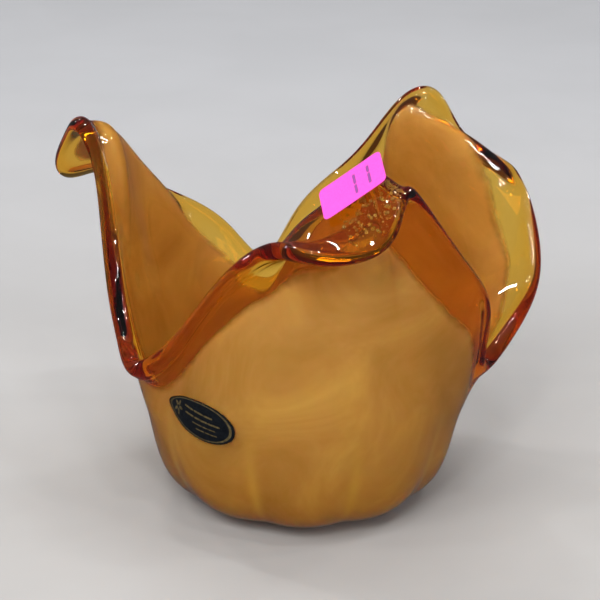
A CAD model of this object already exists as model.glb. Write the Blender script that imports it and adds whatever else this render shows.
# Free-formed cased-glass bowl: amber glass with an opal layer inside its wall, a foil label and a
# paper sticker, on a plain pale floor.
import bmesh
import bpy
import math
import numpy as np
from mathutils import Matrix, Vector


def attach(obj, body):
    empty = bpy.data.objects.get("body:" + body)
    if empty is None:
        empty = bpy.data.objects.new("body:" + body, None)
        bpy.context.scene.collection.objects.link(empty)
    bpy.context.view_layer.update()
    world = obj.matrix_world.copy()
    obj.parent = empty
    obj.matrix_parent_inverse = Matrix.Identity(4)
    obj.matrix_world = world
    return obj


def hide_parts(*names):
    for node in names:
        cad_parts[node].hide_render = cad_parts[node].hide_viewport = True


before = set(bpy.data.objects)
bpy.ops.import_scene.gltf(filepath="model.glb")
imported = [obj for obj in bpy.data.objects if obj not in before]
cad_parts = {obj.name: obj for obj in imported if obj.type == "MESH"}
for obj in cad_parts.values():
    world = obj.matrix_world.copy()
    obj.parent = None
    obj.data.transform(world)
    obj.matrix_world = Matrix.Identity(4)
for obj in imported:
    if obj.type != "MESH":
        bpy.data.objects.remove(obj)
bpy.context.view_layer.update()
scene = bpy.context.scene
MM = 0.001                          # shapes are worked out in mm and made in metres

# ---------------------------------------------------------------------------------------------
# The wall is the same sheet as the CAD part's, so this table and the dimensions below repeat
# part.scad. One station per line: body, shoulder, ridge and lip, each as [azimuth, radius, height]
# of the middle of the wall in mm, then the width of the clear band above the opal layer and the
# radius of the lip bead.
STATIONS = [
    # right dip and the flared flank above it
    [[345, 72, 46], [345, 75, 54], [345, 77, 60], [345, 81, 66], 10, 3.8],
    [[355, 72, 48], [355, 79, 61], [355, 88, 73], [355, 95, 81], 13, 3.6],
    [[366, 73, 50], [366, 85, 73], [365, 99, 91], [364, 107, 99], 15, 3.4],
    [[377, 74, 52], [377, 87, 83], [375, 103, 113], [373, 108, 122], 16, 3.2],
    # back-right petal: its tip is folded back from 388 to 405
    [[388, 75, 52], [387, 84, 88], [385, 96, 139], [382, 107, 137], 14, 3.2],
    [[397, 74, 52], [396, 80, 91], [394, 90, 154], [390, 108, 140], 14, 3.2],
    [[405, 74, 52], [405, 78, 94], [403, 81, 161], [400, 98, 149], 12, 3.2],
    [[411, 74, 52], [411, 77, 95], [409, 79, 169], [406, 90, 172], 22, 3.2],
    [[418, 74, 52], [417, 76, 93], [416, 78, 158], [414, 83, 168], 34, 3.2],
    [[428, 74, 52], [427, 74, 87], [425, 76, 139], [424, 81, 148], 34, 3.2],
    [[439, 74, 52], [438, 72, 80], [436, 72, 120], [435, 78, 130], 28, 3.2],
    [[452, 73, 52], [452, 70, 74], [452, 70, 100], [452, 75, 110], 20, 3.2],
    # back dip
    [[465, 73, 50], [465, 69, 64], [465, 68, 74], [465, 71, 82], 12, 3.2],
    [[477, 74, 52], [478, 73, 72], [477, 80, 92], [476, 84, 101], 13, 3.2],
    [[488, 75, 53], [489, 80, 80], [489, 90, 108], [489, 96, 115], 13, 3.2],
    # left petal: its tip is folded out and down from 497 to 526
    [[497, 75, 54], [498, 82, 86], [498, 96, 126], [497, 108, 123], 12, 3.2],
    [[505, 75, 54], [507, 84, 91], [506, 100, 143], [503, 120, 135], 12, 3.2],
    [[511, 74, 54], [513, 84, 94], [512, 101, 155], [509, 131, 131], 10, 3.2],
    [[516, 74, 54], [518, 84, 95], [517, 101, 161], [514, 130, 142], 10, 3.2],
    [[521, 74, 54], [523, 83, 95], [521, 100, 165], [519, 116, 160], 10, 3.6],
    [[526, 74, 54], [527, 83, 93], [525, 98, 163], [524, 106, 167], 10, 4.0],
    [[532, 73, 53], [532, 82, 87], [529, 92, 146], [528, 96, 156], 10, 4.2],
    [[539, 73, 52], [538, 80, 80], [535, 87, 117], [534, 90, 128], 10, 4.3],
    [[548, 72, 51], [547, 77, 70], [546, 82, 91], [545, 86, 101], 10, 4.3],
    [[558, 72, 49], [558, 75, 61], [558, 78, 75], [558, 83, 82], 9, 4.2],
    # front-left dip, flared into a thick lip
    [[568, 72, 47], [568, 73, 57], [568, 75, 66], [568, 83, 74], 9, 4.3],
    [[579, 73, 47], [579, 71, 64], [579, 70, 78], [579, 74, 88], 14, 4.0],
    [[591, 74, 49], [591, 71, 77], [592, 67, 100], [592, 70, 111], 18, 3.8],
    [[604, 75, 51], [604, 73, 88], [606, 65, 121], [606, 69, 131], 20, 3.8],
    [[616, 76, 52], [616, 74, 94], [617, 62, 132], [618, 69, 141], 24, 3.8],
    # front petal: its broad tip is folded forward from 625 to 654
    [[625, 76, 52], [625, 74, 97], [625, 61, 143], [626, 77, 144], 36, 3.8],
    [[633, 76, 52], [633, 75, 99], [632, 62, 152], [633, 85, 145], 50, 3.6],
    [[641, 77, 52], [641, 76, 100], [641, 65, 160], [641, 89, 146], 60, 3.4],
    [[648, 77, 52], [648, 77, 101], [647, 69, 168], [648, 93, 150], 64, 3.2],
    [[654, 77, 52], [654, 77, 101], [652, 73, 173], [653, 94, 158], 58, 3.0],
    [[659, 76, 52], [659, 77, 100], [657, 76, 171], [657, 89, 169], 44, 3.0],
    [[665, 76, 52], [665, 78, 96], [664, 80, 156], [663, 85, 166], 32, 3.0],
    # flat flank of the front petal, down to the right dip
    [[674, 75, 51], [674, 79, 88], [674, 84, 131], [674, 88, 142], 26, 3.0],
    [[684, 74, 50], [684, 79, 77], [684, 87, 111], [684, 91, 122], 20, 3.0],
    [[694, 73, 48], [694, 78, 65], [694, 85, 90], [694, 90, 102], 16, 3.2],
]
COUNT = len(STATIONS)
LIP = 5                             # rows of control points run from 0, the foot, to the lip
FOOT_R, HEEL_R, HEEL_Z = 35, 55, 8
BASE_T, WALL_T = 8, 5.6
# half the wall's thickness by height: the wall is thicker near the base
HALF_WALL_Z, HALF_WALL = (0, 12, 45), (BASE_T / 2, 0.58 * WALL_T + 0.1, WALL_T / 2)
BEAD_RUN = 9                        # the lip bead starts to swell this far down the wall

# the opal layer's faces and its edge, as shares of the half wall from its middle
OPAL_OUT, OPAL_IN, OPAL_EDGE = 0.14, -0.36, -0.1
OPAL_TAPER = 3.0                    # it thins to its edge over this length

LOBES, LOBE_DEPTH = 10, 3.2
LOBE_SOFT = 0.04                    # rounds the bottom of each groove
LOBE_MEAN = 0.72
LOBE_FADE_Z, LOBE_FADE = (0, 6, 16, 60, 110, 200), (0.62, 1.06, 1, 0.31, 0.1, 0.06)

# on the left the lip was drawn out while soft: faint ridges run along it and drift slowly across
CORD_DEPTH, CORD_PITCH, CORD_TURNS = 0.15, 3.6, 5
CORD_AZ, CORD_STRENGTH = (165, 195, 245, 262), (0, 1, 1, 0)

COLS, ROWS_OPAL, ROWS_CLEAR = 400, 66, 48
LIP_CROWDING = 1.3                  # above 1 sets the rows closer together towards the lip
ROUNDING_PASSES = 10                # averages the normals over a few millimetres
FOOT_CLEARANCE = 0.02               # only the foot itself touches the table
LIP_ARC = np.radians(np.arange(75, -76, -15))   # round the lip, between the two faces


def polar(az, r, z):
    a = math.radians(az)
    return (r * math.cos(a), r * math.sin(a), z)


def control_rows():
    """Control points. Above the heel, the curve round a row runs close by its stations."""
    rows = []
    for row in range(LIP + 1):
        line = []
        for s in STATIONS:
            if row == 0:
                line.append(polar(s[0][0], FOOT_R, BASE_T / 2))
            elif row == 1:
                line.append(polar(s[0][0], HEEL_R, HEEL_Z))
            else:
                line.append(polar(*s[row - 2]))
        p = np.array(line, float)
        if row > 1:
            p = (8 * p - np.roll(p, 1, 0) - np.roll(p, -1, 0)) / 6
        rows.append(p)
    return rows


def opal_row(station):
    """Row at which the opal layer ends: the clear band's width, down the wall from the lip."""
    p = [np.array(polar(*point)) for point in station[:4]]
    band = station[4]
    fold, flank, shoulder = (np.linalg.norm(p[i] - p[i - 1]) for i in (3, 2, 1))
    if band < fold:
        return LIP - band / fold
    if band < fold + flank:
        return LIP - 1 - (band - fold) / flank
    return LIP - 2 - (band - fold - flank) / shoulder


CONTROL = control_rows()
OPAL_ROWS = np.array([opal_row(s) for s in STATIONS])
BEADS = np.array([s[5] for s in STATIONS])


def spline(values, u):
    """A closed cubic B-spline of one value a station, at station numbers u."""
    i = np.floor(u).astype(int)
    t = u - i
    if values.ndim > 1:
        t = t[:, None]
    w = ((1 - t) ** 3 / 6, (3 * t**3 - 6 * t * t + 4) / 6,
         (3 * t * t + 3 * t + 1 - 3 * t**3) / 6, t**3 / 6)
    return sum(w[k] * values[(i + k - 1) % COUNT] for k in range(4))


def unit(a):
    return a / np.linalg.norm(a, axis=-1, keepdims=True)


def lobed(p):
    """Points moved out or in by the melon lobes round the body."""
    r = np.hypot(p[:, 0], p[:, 1])
    az = np.arctan2(p[:, 1], p[:, 0])
    bulge = np.sqrt(np.cos(LOBES / 2 * az - math.pi / 2) ** 2 + LOBE_SOFT) - LOBE_MEAN
    k = 1 + LOBE_DEPTH * np.interp(p[:, 2], LOBE_FADE_Z, LOBE_FADE) * bulge / r
    return np.stack([p[:, 0] * k, p[:, 1] * k, p[:, 2]], -1)


def half_wall(z):
    return np.interp(z, HALF_WALL_Z, HALF_WALL)


class Meridians:
    """The curves up the wall at the station numbers u."""

    def __init__(self, u):
        self.points = np.stack([spline(row, u) for row in CONTROL])
        gap = self.points[1:] - self.points[:-1]
        self.span = np.linalg.norm(gap, axis=-1, keepdims=True)
        heading = [None] * (LIP + 1)
        heading[0] = unit(self.points[0] * [1, 1, 0])
        heading[LIP] = gap[-1] / self.span[-1]
        for i in range(1, LIP):
            a, b = self.span[i - 1], self.span[i]
            heading[i] = (gap[i - 1] * b / a + gap[i] * a / b) / (a + b)
        self.heading = np.stack(heading)

    def at(self, v):
        """One point on each curve, at the row numbers v."""
        i = np.minimum(np.floor(v).astype(int), LIP - 1)
        t = (v - i)[:, None]
        j = np.arange(self.points.shape[1])
        p, q, span = self.points[i, j], self.points[i + 1, j], self.span[i, j]
        bend = (1 - t) * self.heading[i, j] - t * self.heading[i + 1, j]
        return lobed((2 * t - 3) * t * t * (p - q) + p + t * (1 - t) * span * bend)


def normals(grid):
    du = np.roll(grid, -1, 1) - np.roll(grid, 1, 1)
    dv = np.empty_like(grid)
    dv[1:-1] = grid[2:] - grid[:-2]
    dv[0] = grid[1] - grid[0]
    dv[-1] = grid[-1] - grid[-2]
    return unit(np.cross(du, dv))


def rounded(n):
    """The glass rounds its own folds, so the faces are set off along averaged normals."""
    for _ in range(ROUNDING_PASSES):
        up = np.concatenate([n[1:], n[-1:]])
        down = np.concatenate([n[:1], n[:-1]])
        n = unit(2 * n + np.roll(n, 1, 1) + np.roll(n, -1, 1) + up + down)
    return n


# the middle of the wall, from the foot up to the opal's edge and on to the lip
U = np.arange(COLS) * COUNT / COLS
curves = Meridians(U)
opal_edge = spline(OPAL_ROWS, U)
SHEET = np.stack(
    [curves.at(opal_edge * i / ROWS_OPAL) for i in range(ROWS_OPAL)]
    + [curves.at(LIP - (LIP - opal_edge) * (1 - i / ROWS_CLEAR) ** LIP_CROWDING)
       for i in range(ROWS_CLEAR + 1)]
)
NORMAL = rounded(normals(SHEET))


def half_thickness():
    """Half the wall's thickness, with the bead and its ridges at the lip."""
    to_lip = np.linalg.norm(SHEET - SHEET[-1], axis=-1)
    near = np.clip(1 - to_lip / BEAD_RUN, 0, 1)
    swell = near * near * (3 - 2 * near)
    half = half_wall(SHEET[..., 2])
    half = half + (spline(BEADS, U) - half) * swell
    lip_azimuth = np.degrees(np.arctan2(SHEET[-1, :, 1], SHEET[-1, :, 0])) % 360
    drawn = np.interp(lip_azimuth, CORD_AZ, CORD_STRENGTH)
    ridges = np.cos(2 * math.pi * (to_lip / CORD_PITCH + CORD_TURNS * U / COUNT))
    return half + CORD_DEPTH * drawn * 4 * near * (1 - near) * ridges


HALF = half_thickness()


# ---------------------------------------------------------------------------------------------
# Making meshes
def new_mesh(name, points, faces, smooth=True):
    mesh = bpy.data.meshes.new(name)
    mesh.from_pydata([tuple(p) for p in points * MM], [], faces)
    mesh.validate()
    mesh.update()
    if smooth:
        mesh.polygons.foreach_set("use_smooth", [True] * len(mesh.polygons))
    obj = bpy.data.objects.new(name, mesh)
    scene.collection.objects.link(obj)
    return obj


def set_values(obj, name, values):
    """A number for each point of the mesh, which its material reads by name."""
    attribute = obj.data.attributes.new(name, "FLOAT", "POINT")
    attribute.data.foreach_set("value", values.astype(np.float32))


def fan(tip, start, count, turned=False):
    """Triangles from the point numbered tip to a ring of points."""
    ring = [(start + j, start + (j + 1) % count) for j in range(count)]
    return [(tip, b, a) if turned else (tip, a, b) for a, b in ring]


def skin(name, rings, first, last):
    """A closed mesh through rings of points, closed by a point at each end."""
    n, m = rings.shape[:2]
    points = np.concatenate([[first], rings.reshape(-1, 3), [last]])
    faces = fan(0, 1, m, turned=True)
    for i in range(n - 1):
        a = 1 + i * m
        faces += [(a + j, a + (j + 1) % m, a + m + (j + 1) % m, a + m + j) for j in range(m)]
    faces += fan(1 + n * m, 1 + (n - 1) * m, m)
    return new_mesh(name, points, faces)


# ---------------------------------------------------------------------------------------------
# The clear glass: outside, rounded lip and inside as one closed skin
def set_off(rows, share):
    """Points off the middle of the wall, by a share of its half thickness."""
    return SHEET[rows] + HALF[rows][..., None] * share * NORMAL[rows]


def glass_mesh():
    every = slice(None)
    outside = set_off(every, 1)
    outside[..., 2] = np.maximum(outside[..., 2], FOOT_CLEARANCE)
    outside[0, :, 2] = 0
    along = unit(SHEET[-1] - SHEET[-2])
    cap = np.stack([SHEET[-1] + HALF[-1][:, None] * (math.sin(a) * NORMAL[-1] + math.cos(a) * along)
                    for a in LIP_ARC])
    return skin("amber_glass", np.concatenate([outside, cap, set_off(every, -1)[::-1]]),
                (0, 0, 0), (0, 0, BASE_T))


glass = glass_mesh()

# ---------------------------------------------------------------------------------------------
# The opal layer
GROOVE_WIDTH = 2.6                  # of the pale line in a groove of the lobes, in degrees
GROOVE_Z, GROOVE_STRENGTH = (6, 14, 30, 62), (0, 1, 1, 0)
GROOVE_PALE = 0.85                  # how far that line goes towards white
FRAY = 8.0                          # spread of the uneven edge, in mm
FADE_FROM, FADE_TO = -0.5, 7.0      # reach at which the opal starts to show and is full, in mm


def opal_mesh():
    """The layer, and for its material three values at each point: how far the opal reaches past
    it, how deep in a groove it lies, and which side of the layer it is on."""
    low = slice(0, ROWS_OPAL)
    reach = np.linalg.norm(SHEET[low] - SHEET[ROWS_OPAL], axis=-1)
    full = np.clip(reach / OPAL_TAPER, 0, 1)
    full = np.sqrt(full * (2 - full))[..., None]
    outer = set_off(low, OPAL_EDGE + (OPAL_OUT - OPAL_EDGE) * full)
    inner = set_off(low, OPAL_EDGE + (OPAL_IN - OPAL_EDGE) * full)
    rim = set_off(ROWS_OPAL, OPAL_EDGE)[None]
    obj = skin("opal_shell", np.concatenate([outer, rim, inner[::-1]]),
               (0, 0, BASE_T / 2 * (1 - OPAL_OUT)), (0, 0, BASE_T / 2 * (1 - OPAL_IN)))

    def on_rings(name, outer, rim, inner):
        set_values(obj, name, np.concatenate(
            [[outer[0, 0]], outer.ravel(), rim, inner[::-1].ravel(), [inner[0, 0]]]))

    pitch = 360 / LOBES
    azimuth = np.degrees(np.arctan2(SHEET[low][..., 1], SHEET[low][..., 0]))
    off_groove = np.abs((azimuth + pitch / 2) % pitch - pitch / 2)
    fade = np.interp(SHEET[low][..., 2], GROOVE_Z, GROOVE_STRENGTH)
    groove = np.exp(-(off_groove / GROOVE_WIDTH) ** 2) * fade
    none, flat = np.zeros_like(groove), np.zeros(COLS)
    on_rings("reach", reach, flat, reach)
    on_rings("groove", groove, flat, none)
    on_rings("inside", none, flat + 0.5, none + 1)
    return obj


opal = opal_mesh()

# ---------------------------------------------------------------------------------------------
# Air trapped in the clear glass where the front tip was folded over: small bubbles in mid-wall
BUBBLES = 280
BUBBLE_STATIONS = (32.2, 35.2)      # round the bowl, in station numbers
BUBBLE_ROWS = (4.15, 4.92)          # between the ridge and the lip
BUBBLE_R, BUBBLE_MORE = 0.25, 0.85  # the least radius, and how much more the largest have
BUBBLE_DEPTH = 0.3                  # either side of the middle, as a share of the half wall
BUBBLE_SEED = 7
PROBE_STATIONS, PROBE_ROWS = 0.05, 0.02     # steps for the wall's normal at a bubble


def bubble_mesh():
    rng = np.random.default_rng(BUBBLE_SEED)
    u = rng.uniform(*BUBBLE_STATIONS, BUBBLES)
    v = rng.uniform(*BUBBLE_ROWS, BUBBLES)
    radius = BUBBLE_R + BUBBLE_MORE * rng.random(BUBBLES) ** 3
    depth = rng.uniform(-BUBBLE_DEPTH, BUBBLE_DEPTH, BUBBLES)
    here = Meridians(u).at(v)
    round_bowl = Meridians(u + PROBE_STATIONS).at(v)
    up_wall = Meridians(u).at(v + PROBE_ROWS)
    normal = unit(np.cross(round_bowl - here, up_wall - here))
    centre = here + normal * (depth * WALL_T / 2)[:, None]
    ball = bmesh.new()
    bmesh.ops.create_icosphere(ball, subdivisions=2, radius=1)
    shape = np.array([list(q.co) for q in ball.verts])
    tris = np.array([[q.index for q in f.verts] for f in ball.faces])
    ball.free()
    points = (centre[:, None] + radius[:, None, None] * shape).reshape(-1, 3)
    faces = (tris[None] + len(shape) * np.arange(BUBBLES)[:, None, None]).reshape(-1, 3)
    return new_mesh("air_bubbles", points, faces.tolist())


bubbles = bubble_mesh()

# ---------------------------------------------------------------------------------------------
# The foil label follows the outside of the body.
LABEL_LEN, LABEL_W, LABEL_AZ, LABEL_Z, LABEL_TILT = 41, 16, 232, 60.5, -3
LABEL_TAPER = 0.36                  # how much fuller one end is than the other
LABEL_FACE, LABEL_BACK = 0.24, 0.06     # heights above the glass
LABEL_SIDES, LABEL_RINGS = 220, 64
BORDER_INSET, BORDER_HALF = 0.75, 0.22
ROSETTE_AT, ROSETTE_R, ROSETTE_SWING, ROSETTE_PETALS = (-11.6, 0.2), 2.2, 1.3, 5
ROSETTE_EYE, ROSETTE_EYE_LINE = 1.0, 0.8
# strokes in place of wording: from x, at y, to x, half width
LABEL_STROKES = (
    (-6.5, 3.1, -1.2, 0.42), (-0.1, 3.1, 4.6, 0.42), (5.7, 3.1, 9.6, 0.42),
    (-5.4, 0.4, -0.6, 0.42), (0.5, 0.4, 7.0, 0.42), (8.1, 0.4, 13.4, 0.42),
    (-0.6, -2.1, 4.4, 0.26), (5.3, -2.1, 11.4, 0.26),
    (1.5, -4.2, 5.6, 0.26), (6.6, -4.2, 12.2, 0.26),
)
BODY_AZ = [s[0][0] for s in STATIONS]
BODY_ROWS, HALVINGS = (1.0, 3.4), 30    # where a height on the body is searched for
PROBE = 0.5                         # step for the body's normal, in degrees and mm


def sheet_at(az, z):
    """Points of the middle of the wall at given azimuths and heights on the body."""
    az = np.where(az < BODY_AZ[0], az + 360, az)
    at_azimuth = Meridians(np.interp(az, BODY_AZ, np.arange(COUNT)))
    a, b = (np.full(len(az), row) for row in BODY_ROWS)
    for _ in range(HALVINGS):
        mid = (a + b) / 2
        below = at_azimuth.at(mid)[:, 2] < z
        a, b = np.where(below, mid, a), np.where(below, b, mid)
    return at_azimuth.at((a + b) / 2)


def outside_at(az, z, lift):
    p = sheet_at(az, z)
    n = unit(np.cross(sheet_at(az + PROBE, z) - sheet_at(az - PROBE, z),
                      sheet_at(az, z + PROBE) - sheet_at(az, z - PROBE)))
    return p + n * (half_wall(p[:, 2]) + lift)[:, None]


def label_points(x, y, lift):
    """Points of the label's plane laid on the body around LABEL_AZ and LABEL_Z."""
    c = sheet_at(np.array([float(LABEL_AZ)]), np.array([float(LABEL_Z)]))[0]
    t = math.radians(LABEL_TILT)
    across = x * math.cos(t) - y * math.sin(t)
    rise = x * math.sin(t) + y * math.cos(t)
    az = LABEL_AZ + np.degrees(across / math.hypot(c[0], c[1]))
    return outside_at(az, LABEL_Z + rise, lift)


def segment(x, y, ax, ay, bx, by):
    """Distance from the points to a straight stroke."""
    dx, dy = bx - ax, by - ay
    t = np.clip(((x - ax) * dx + (y - ay) * dy) / (dx * dx + dy * dy), 0, 1)
    return np.hypot(x - ax - t * dx, y - ay - t * dy)


def label_marks(x, y, size):
    """Above zero on the gold: a border line, a plain rosette and strokes in place of wording."""
    gold = BORDER_HALF - np.abs((1 - size) * LABEL_W / 2 - BORDER_INSET)
    x_off, y_off = x - ROSETTE_AT[0], y - ROSETTE_AT[1]
    r, turn = np.hypot(x_off, y_off), np.arctan2(y_off, x_off)
    gold = np.maximum(gold, (ROSETTE_R + ROSETTE_SWING * np.cos(ROSETTE_PETALS * turn)) - r)
    gold = np.where(r < ROSETTE_EYE, r - ROSETTE_EYE_LINE, gold)
    for start, height, end, half in LABEL_STROKES:
        gold = np.maximum(gold, half - segment(x, y, start, height, end, height))
    return gold


def label_mesh():
    """A closed skin: the face in rings from its middle, then the edge against the glass."""
    a = np.linspace(0, 2 * math.pi, LABEL_SIDES, endpoint=False)
    sizes = np.linspace(1 / LABEL_RINGS, 1, LABEL_RINGS)
    x = sizes[:, None] * LABEL_LEN / 2 * np.cos(a)
    y = sizes[:, None] * LABEL_W / 2 * np.sin(a) * (1 + LABEL_TAPER * np.cos(a))
    size = np.repeat(sizes[:, None], LABEL_SIDES, 1)
    fx, fy, fs = (np.concatenate([[0], v.ravel()]) for v in (x, y, size))
    points = np.concatenate([label_points(fx, fy, LABEL_FACE),
                             label_points(x[-1], y[-1], LABEL_BACK),
                             label_points(np.zeros(1), np.zeros(1), LABEL_BACK)])
    faces = fan(0, 1, LABEL_SIDES)
    for i in range(LABEL_RINGS):
        b = 1 + i * LABEL_SIDES
        for j in range(LABEL_SIDES):
            k = (j + 1) % LABEL_SIDES
            faces.append((b + j, b + LABEL_SIDES + j, b + LABEL_SIDES + k, b + k))
    faces += fan(len(points) - 1, 1 + LABEL_RINGS * LABEL_SIDES, LABEL_SIDES, turned=True)
    obj = new_mesh("foil_label", points, faces)
    plain = np.full(LABEL_SIDES + 1, -1.0)
    set_values(obj, "gold", np.concatenate([label_marks(fx, fy, fs), plain]))
    return obj


label = label_mesh()

# ---------------------------------------------------------------------------------------------
# The paper sticker: a rounded rectangle that lies on the crest and lifts a little at its ends
STICKER_LEN, STICKER_W, STICKER_T = 32, 19, 0.25
STICKER_AT, STICKER_TURN = [20, -70, 171], [45, -60, 60]
STICKER_CORNER = 2.5
STICKER_CELLS = (150, 76)
FACE_OUT = STICKER_T / 2 * 0.8      # its two faces lie a little inside the CAD card's
CURL_ENDS, CURL_TOP = 0.10, 0.06
# strokes in place of wording: from x, y to x, y
INK_STROKES = ((8.6, 5.0, 8.6, 2.2), (8.6, 0.4, 8.6, -4.6),
               (1.6, 5.2, 1.6, 0.6), (1.6, -1.2, 1.6, -5.4))
INK_HALF = 0.75


def rotated(a, b, angle):
    return a * math.cos(angle) - b * math.sin(angle), a * math.sin(angle) + b * math.cos(angle)


def sticker_place(x, y, z):
    """Points of the sticker's plane turned and moved to the crest."""
    tilt, lean, spin = (math.radians(t) for t in STICKER_TURN)
    x, y = rotated(x, y, spin)
    y, z = rotated(y, z, tilt)
    x, y = rotated(x, y, lean)
    return (np.stack([x, y, z], -1) + STICKER_AT).reshape(-1, 3)


def sticker_mesh():
    nx, ny = STICKER_CELLS
    gx, gy = np.meshgrid(np.linspace(-1, 1, nx), np.linspace(-1, 1, ny), indexing="ij")
    # the ends of the square grid are pulled in to rounded corners
    half_len, half_w, corner = STICKER_LEN / 2, STICKER_W / 2, STICKER_CORNER
    y = gy * half_w
    past = np.clip(np.abs(y) - (half_w - corner), 0, None)
    inset = corner - np.sqrt(np.clip(corner * corner - past ** 2, 0, None))
    x = gx * (half_len - inset)
    curl = CURL_ENDS * np.abs(gx) ** 3 + CURL_TOP * np.clip(gy, 0, None) ** 2
    ink = np.full(x.shape, -1.0)
    for stroke in INK_STROKES:
        ink = np.maximum(ink, INK_HALF - segment(x, y, *stroke))
    points = np.concatenate([sticker_place(x, y, side * FACE_OUT + curl) for side in (1, -1)])
    n = nx * ny
    faces = []
    for i in range(nx - 1):
        for j in range(ny - 1):
            q = (i * ny + j, (i + 1) * ny + j, (i + 1) * ny + j + 1, i * ny + j + 1)
            faces += [q, tuple(n + k for k in reversed(q))]
    border = ([i * ny for i in range(nx)] + [(nx - 1) * ny + j for j in range(1, ny)]
              + [i * ny + ny - 1 for i in range(nx - 2, -1, -1)] + list(range(ny - 2, 0, -1)))
    for a, b in zip(border, border[1:] + border[:1]):
        faces.append((b, a, n + a, n + b))
    obj = new_mesh("paper_sticker", points, faces, smooth=False)
    set_values(obj, "ink", np.concatenate([ink.ravel(), np.full(n, -1.0)]))
    return obj


sticker = sticker_mesh()

# ---------------------------------------------------------------------------------------------
# Materials
MIX_FACTOR, MIX_A, MIX_B, MIX_RESULT = 0, 6, 7, 2   # the Mix node's sockets for colours
FLOOR_NEAR_Y, FLOOR_FAR_Y = -0.1, 0.8   # the floor turns slowly paler between these, in metres


class Graph:
    """Short hand for a node tree. A value given to it is a number, a colour or another output."""

    def __init__(self, tree):
        self.tree = tree
        self.tree.nodes.clear()

    def new(self, kind, **settings):
        node = self.tree.nodes.new(kind)
        for key, value in settings.items():
            setattr(node, key, value)
        return node

    def feed(self, socket, value):
        if isinstance(value, bpy.types.NodeSocket):
            self.tree.links.new(value, socket)
        else:
            socket.default_value = value

    def ramp(self, source, *stops):
        node = self.new("ShaderNodeValToRGB")
        elements = node.color_ramp.elements
        while len(elements) < len(stops):
            elements.new(0.5)
        for element, (position, colour) in zip(elements, stops):
            element.position = position
            element.color = (*colour, 1)
        self.feed(node.inputs[0], source)
        return node.outputs[0]

    def between(self, value, low, high, interpolation_type="SMOOTHSTEP"):
        """From 0 at low to 1 at high."""
        node = self.new("ShaderNodeMapRange", interpolation_type=interpolation_type)
        self.feed(node.inputs["From Min"], low)
        self.feed(node.inputs["From Max"], high)
        self.feed(node.inputs["Value"], value)
        return node.outputs[0]

    def calculate(self, operation, *values):
        node = self.new("ShaderNodeMath", operation=operation)
        for socket, value in zip(node.inputs, values):
            self.feed(socket, value)
        return node.outputs[0]

    def mix(self, factor, a, b):
        node = self.new("ShaderNodeMix", data_type="RGBA")
        for index, value in ((MIX_FACTOR, factor), (MIX_A, a), (MIX_B, b)):
            self.feed(node.inputs[index], value)
        return node.outputs[MIX_RESULT]

    def along(self, vector, axis):
        node = self.new("ShaderNodeSeparateXYZ")
        self.feed(node.inputs[0], vector)
        return node.outputs[axis]


class Surface(Graph):
    """A material with one Principled shader."""

    def __init__(self, name):
        self.mat = bpy.data.materials.new(name)
        self.mat.use_nodes = True
        super().__init__(self.mat.node_tree)
        self.out = self.new("ShaderNodeOutputMaterial")
        self.bsdf = self.new("ShaderNodeBsdfPrincipled")
        self.feed(self.out.inputs["Surface"], self.bsdf.outputs[0])
        self.place = self.new("ShaderNodeTexCoord").outputs["Object"]

    def set(self, **values):
        for key, value in values.items():
            self.feed(self.bsdf.inputs[key.replace("_", " ")], value)

    def attribute(self, name):
        return self.new("ShaderNodeAttribute", attribute_name=name).outputs["Fac"]

    def noise(self, scale, detail, rough=0.5, distortion=0.0):
        node = self.new("ShaderNodeTexNoise")
        self.feed(node.inputs["Scale"], scale)
        self.feed(node.inputs["Detail"], detail)
        self.feed(node.inputs["Roughness"], rough)
        self.feed(node.inputs["Distortion"], distortion)
        self.feed(node.inputs["Vector"], self.place)
        return node.outputs[0]

    def bump(self, source, strength, distance):
        node = self.new("ShaderNodeBump")
        self.feed(node.inputs["Strength"], strength)
        self.feed(node.inputs["Distance"], distance)
        self.feed(node.inputs["Height"], source)
        self.set(Normal=node.outputs[0])

    def printed(self, attribute, plain, mark):
        """Plain where the attribute is below zero, marked where it is above."""
        marked = self.calculate("GREATER_THAN", self.attribute(attribute), 0.0)
        self.set(Base_Color=self.mix(marked, plain, mark))


def amber_glass():
    m = Surface("amber_glass")
    m.set(Base_Color=(1, 1, 1, 1), Roughness=0.0, IOR=1.5, Transmission_Weight=1.0)
    m.bump(m.noise(scale=42, detail=1.5, rough=0.4, distortion=0.3), strength=0.25, distance=0.0008)
    absorb = m.new("ShaderNodeVolumeAbsorption")
    m.feed(absorb.inputs["Color"], (0.95, 0.77, 0.08, 1))
    m.feed(absorb.inputs["Density"], 480)
    m.feed(m.out.inputs["Volume"], absorb.outputs[0])
    return m.mat


def trapped_air():
    m = Surface("trapped_air")
    m.set(Base_Color=m.ramp(m.noise(scale=400, detail=2),
                            (0.3, (1.0, 0.93, 0.70)), (0.7, (1.0, 0.99, 0.94))),
          Roughness=0.05, IOR=1.33, Transmission_Weight=0.75)
    return m.mat


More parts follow.
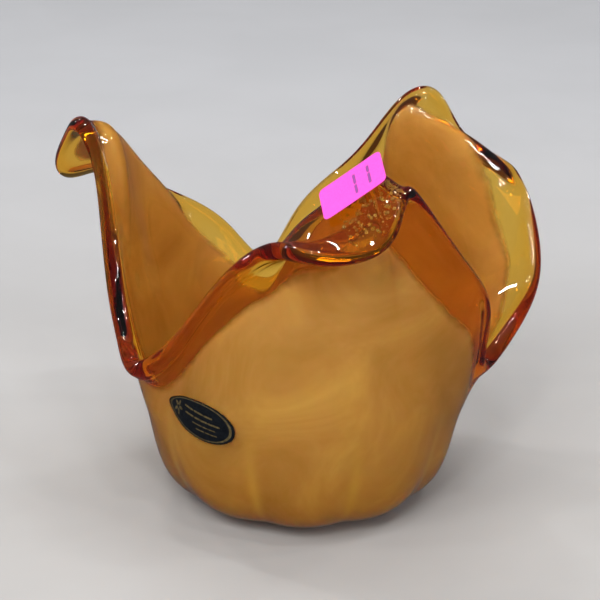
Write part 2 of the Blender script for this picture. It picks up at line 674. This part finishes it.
def opal_glass():
    m = Surface("honey_opal")
    # mottled, deeper amber on the inside, and pale in the grooves
    cloud = m.noise(scale=21, detail=5, rough=0.6, distortion=0.9)
    outside = m.ramp(cloud, (0.30, (0.62, 0.52, 0.57)), (0.50, (0.76, 0.66, 0.82)),
                     (0.69, (0.90, 0.84, 1.0)))
    inside = m.ramp(cloud, (0.30, (0.64, 0.42, 0.26)), (0.68, (0.86, 0.64, 0.46)))
    sides = m.mix(m.attribute("inside"), outside, inside)
    pale = m.calculate("MULTIPLY", m.attribute("groove"), GROOVE_PALE)
    m.set(Base_Color=m.mix(pale, sides, (0.98, 0.97, 1.0, 1)))
    # the milky glass thins away over the last millimetres, unevenly
    ragged = m.calculate("MULTIPLY_ADD", m.noise(scale=60, detail=3, rough=0.6), FRAY, -FRAY / 2)
    uneven = m.calculate("ADD", m.attribute("reach"), ragged)
    m.set(Alpha=m.between(uneven, FADE_FROM, FADE_TO))
    m.set(Roughness=0.45, Subsurface_Weight=0.35, Subsurface_Radius=(1.0, 0.55, 0.2),
          Subsurface_Scale=0.003, Specular_IOR_Level=0.0)
    m.bump(m.noise(scale=160, detail=2), strength=0.15, distance=0.0004)
    return m.mat


def foil():
    m = Surface("label_foil")
    worn = m.noise(scale=700, detail=3, rough=0.7)
    m.printed("gold",
              m.ramp(worn, (0.35, (0.003, 0.004, 0.006)), (0.7, (0.008, 0.010, 0.013))),
              m.ramp(worn, (0.35, (0.045, 0.034, 0.015)), (0.65, (0.11, 0.083, 0.038))))
    m.set(Roughness=0.35, Specular_IOR_Level=0.12)
    m.bump(m.noise(scale=900, detail=2), strength=0.1, distance=0.0001)
    return m.mat


def paper():
    m = Surface("sticker_paper")
    fibre = m.noise(scale=1500, detail=4, rough=0.6)
    m.printed("ink",
              m.ramp(fibre, (0.3, (0.90, 0.07, 0.46)), (0.7, (0.96, 0.10, 0.54))),
              m.ramp(fibre, (0.3, (0.20, 0.05, 0.22)), (0.7, (0.30, 0.07, 0.30))))
    m.set(Roughness=0.85, Specular_IOR_Level=0.2)
    m.bump(fibre, strength=0.25, distance=0.0001)
    return m.mat


def table_top():
    m = Surface("table_top")
    broad = m.noise(scale=7, detail=4, rough=0.55, distortion=0.3)
    near = m.ramp(broad, (0.35, (0.348, 0.338, 0.331)), (0.65, (0.372, 0.363, 0.357)))
    far = m.ramp(broad, (0.35, (0.394, 0.396, 0.410)), (0.65, (0.411, 0.413, 0.428)))
    back = m.between(m.along(m.place, "Y"), FLOOR_NEAR_Y, FLOOR_FAR_Y)
    m.set(Base_Color=m.mix(back, near, far), Roughness=0.7, Specular_IOR_Level=0.2)
    return m.mat


glass.data.materials.append(amber_glass())
bubbles.data.materials.append(trapped_air())
opal.data.materials.append(opal_glass())
label.data.materials.append(foil())
sticker.data.materials.append(paper())

for piece, nodes, slot in ((glass, ("outer_casing", "inner_casing"), "amber_outer"),
                           (opal, ("opal_layer",), "opal"),
                           (label, ("maker_label",), "label_foil"),
                           (sticker, ("lot_sticker",), "sticker_paper")):
    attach(piece, "root")
    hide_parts(*nodes)
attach(bubbles, "root")

# ---------------------------------------------------------------------------------------------
# Floor, light and camera
FLOOR_SIZE, FLOOR_Z = 8, -0.0003    # a hair under the foot
WORLD_STRENGTH = 0.20
WHITE = (1, 1, 1)
# the softboxes light the glass but leave no reflection in it: name, place, target, width and
# height, power, colour
SOFTBOXES = (
    ("key", (-0.8, -1.4, 1.6), (0, 0, 0.08), (1.3, 1.1), 27, (1.0, 0.99, 0.97)),
    ("front_fill", (0.7, -1.6, 0.8), (0, 0, 0.08), (1.0, 0.8), 11, WHITE),
    ("top", (0.1, 0.7, 2.0), (0, 0.4, 0), (1.6, 1.2), 25, WHITE),
)
# the small lamps make the highlights: letter, place, height of the target, width and height, power
LAMPS = (
    ("a", (-0.45, 0.35, 1.5), 0.10, (0.03, 0.22), 3),
    ("b", (0.15, -0.55, 1.6), 0.10, (0.16, 0.03), 3),
    ("c", (-0.15, -1.1, 1.1), 0.10, (0.10, 0.03), 2),
    ("d", (0.75, -0.15, 1.3), 0.10, (0.03, 0.16), 2),
    ("e", (-1.6, 0.8, 0.9), 0.12, (0.05, 0.14), 3),
    ("f", (-1.2, 1.0, 1.5), 0.12, (0.09, 0.09), 4),
    ("g", (1.4, 1.0, 0.7), 0.12, (0.06, 0.26), 4),
    ("h", (0.1, -1.5, 1.9), 0.12, (0.12, 0.12), 4),
    ("i", (-0.9, -0.9, 1.3), 0.12, (0.04, 0.04), 1.2),
    ("j", (0.5, -1.2, 1.1), 0.12, (0.04, 0.04), 1.2),
    ("k", (-1.2, -0.3, 0.9), 0.12, (0.04, 0.04), 1.0),
    ("l", (-0.2, -1.7, 2.2), 0.12, (0.22, 0.22), 5),
    ("m", (1.0, -0.6, 1.9), 0.12, (0.12, 0.12), 3),
    ("n", (-1.3, -0.5, 1.8), 0.12, (0.12, 0.12), 3),
)
CAMERA_ELEVATION, CAMERA_DISTANCE, CAMERA_TARGET = 22, 0.9, (-0.0015, 0, 0.092)
SENSOR, LENS = 36, 117.4
CLIP_START, CLIP_END = 0.01, 50

bpy.ops.mesh.primitive_plane_add(size=FLOOR_SIZE, location=(0, 0, FLOOR_Z))
floor = bpy.context.object
floor.name = "floor"
floor.data.materials.append(table_top())
floor.visible_glossy = False        # the glass mirrors a dim room, not the pale table


def studio():
    """A dim surround, a little brighter overhead."""
    world = bpy.data.worlds.new("studio")
    world.use_nodes = True
    g = Graph(world.node_tree)
    out = g.new("ShaderNodeOutputWorld")
    background = g.new("ShaderNodeBackground")
    upward = g.along(g.new("ShaderNodeTexCoord").outputs["Generated"], "Z")
    height = g.between(upward, -1, 1, interpolation_type="LINEAR")
    sky = g.ramp(height, (0.45, (0.50, 0.50, 0.52)), (0.62, (0.52, 0.52, 0.54)),
                 (0.95, (0.80, 0.81, 0.84)))
    g.feed(background.inputs["Color"], sky)
    g.feed(background.inputs["Strength"], WORLD_STRENGTH)
    g.feed(out.inputs["Surface"], background.outputs[0])
    return world


scene.world = studio()


def lamp(name, at, target, size, power, colour, mirrored):
    """A rectangular lamp, aimed at its target."""
    data = bpy.data.lights.new(name, "AREA")
    data.shape = "RECTANGLE"
    data.size, data.size_y = size
    data.energy = power
    data.color = colour
    obj = bpy.data.objects.new(name, data)
    scene.collection.objects.link(obj)
    obj.location = at
    obj.rotation_euler = (Vector(target) - Vector(at)).to_track_quat("-Z", "Y").to_euler()
    obj.visible_glossy = mirrored


for softbox in SOFTBOXES:
    lamp(*softbox, mirrored=False)
for letter, at, target_z, size, power in LAMPS:
    lamp("lamp_" + letter, at, (0, 0, target_z), size, power, WHITE, mirrored=True)

cam_data = bpy.data.cameras.new("camera")
cam = bpy.data.objects.new("camera", cam_data)
scene.collection.objects.link(cam)
elev = math.radians(CAMERA_ELEVATION)
away = Vector((0, -math.cos(elev), math.sin(elev)))
cam.location = Vector(CAMERA_TARGET) + CAMERA_DISTANCE * away
cam.rotation_euler = (math.pi / 2 - elev, 0, 0)
cam_data.sensor_width = SENSOR
cam_data.lens = LENS
cam_data.clip_start, cam_data.clip_end = CLIP_START, CLIP_END
scene.camera = cam
scene.view_settings.view_transform = "Standard"
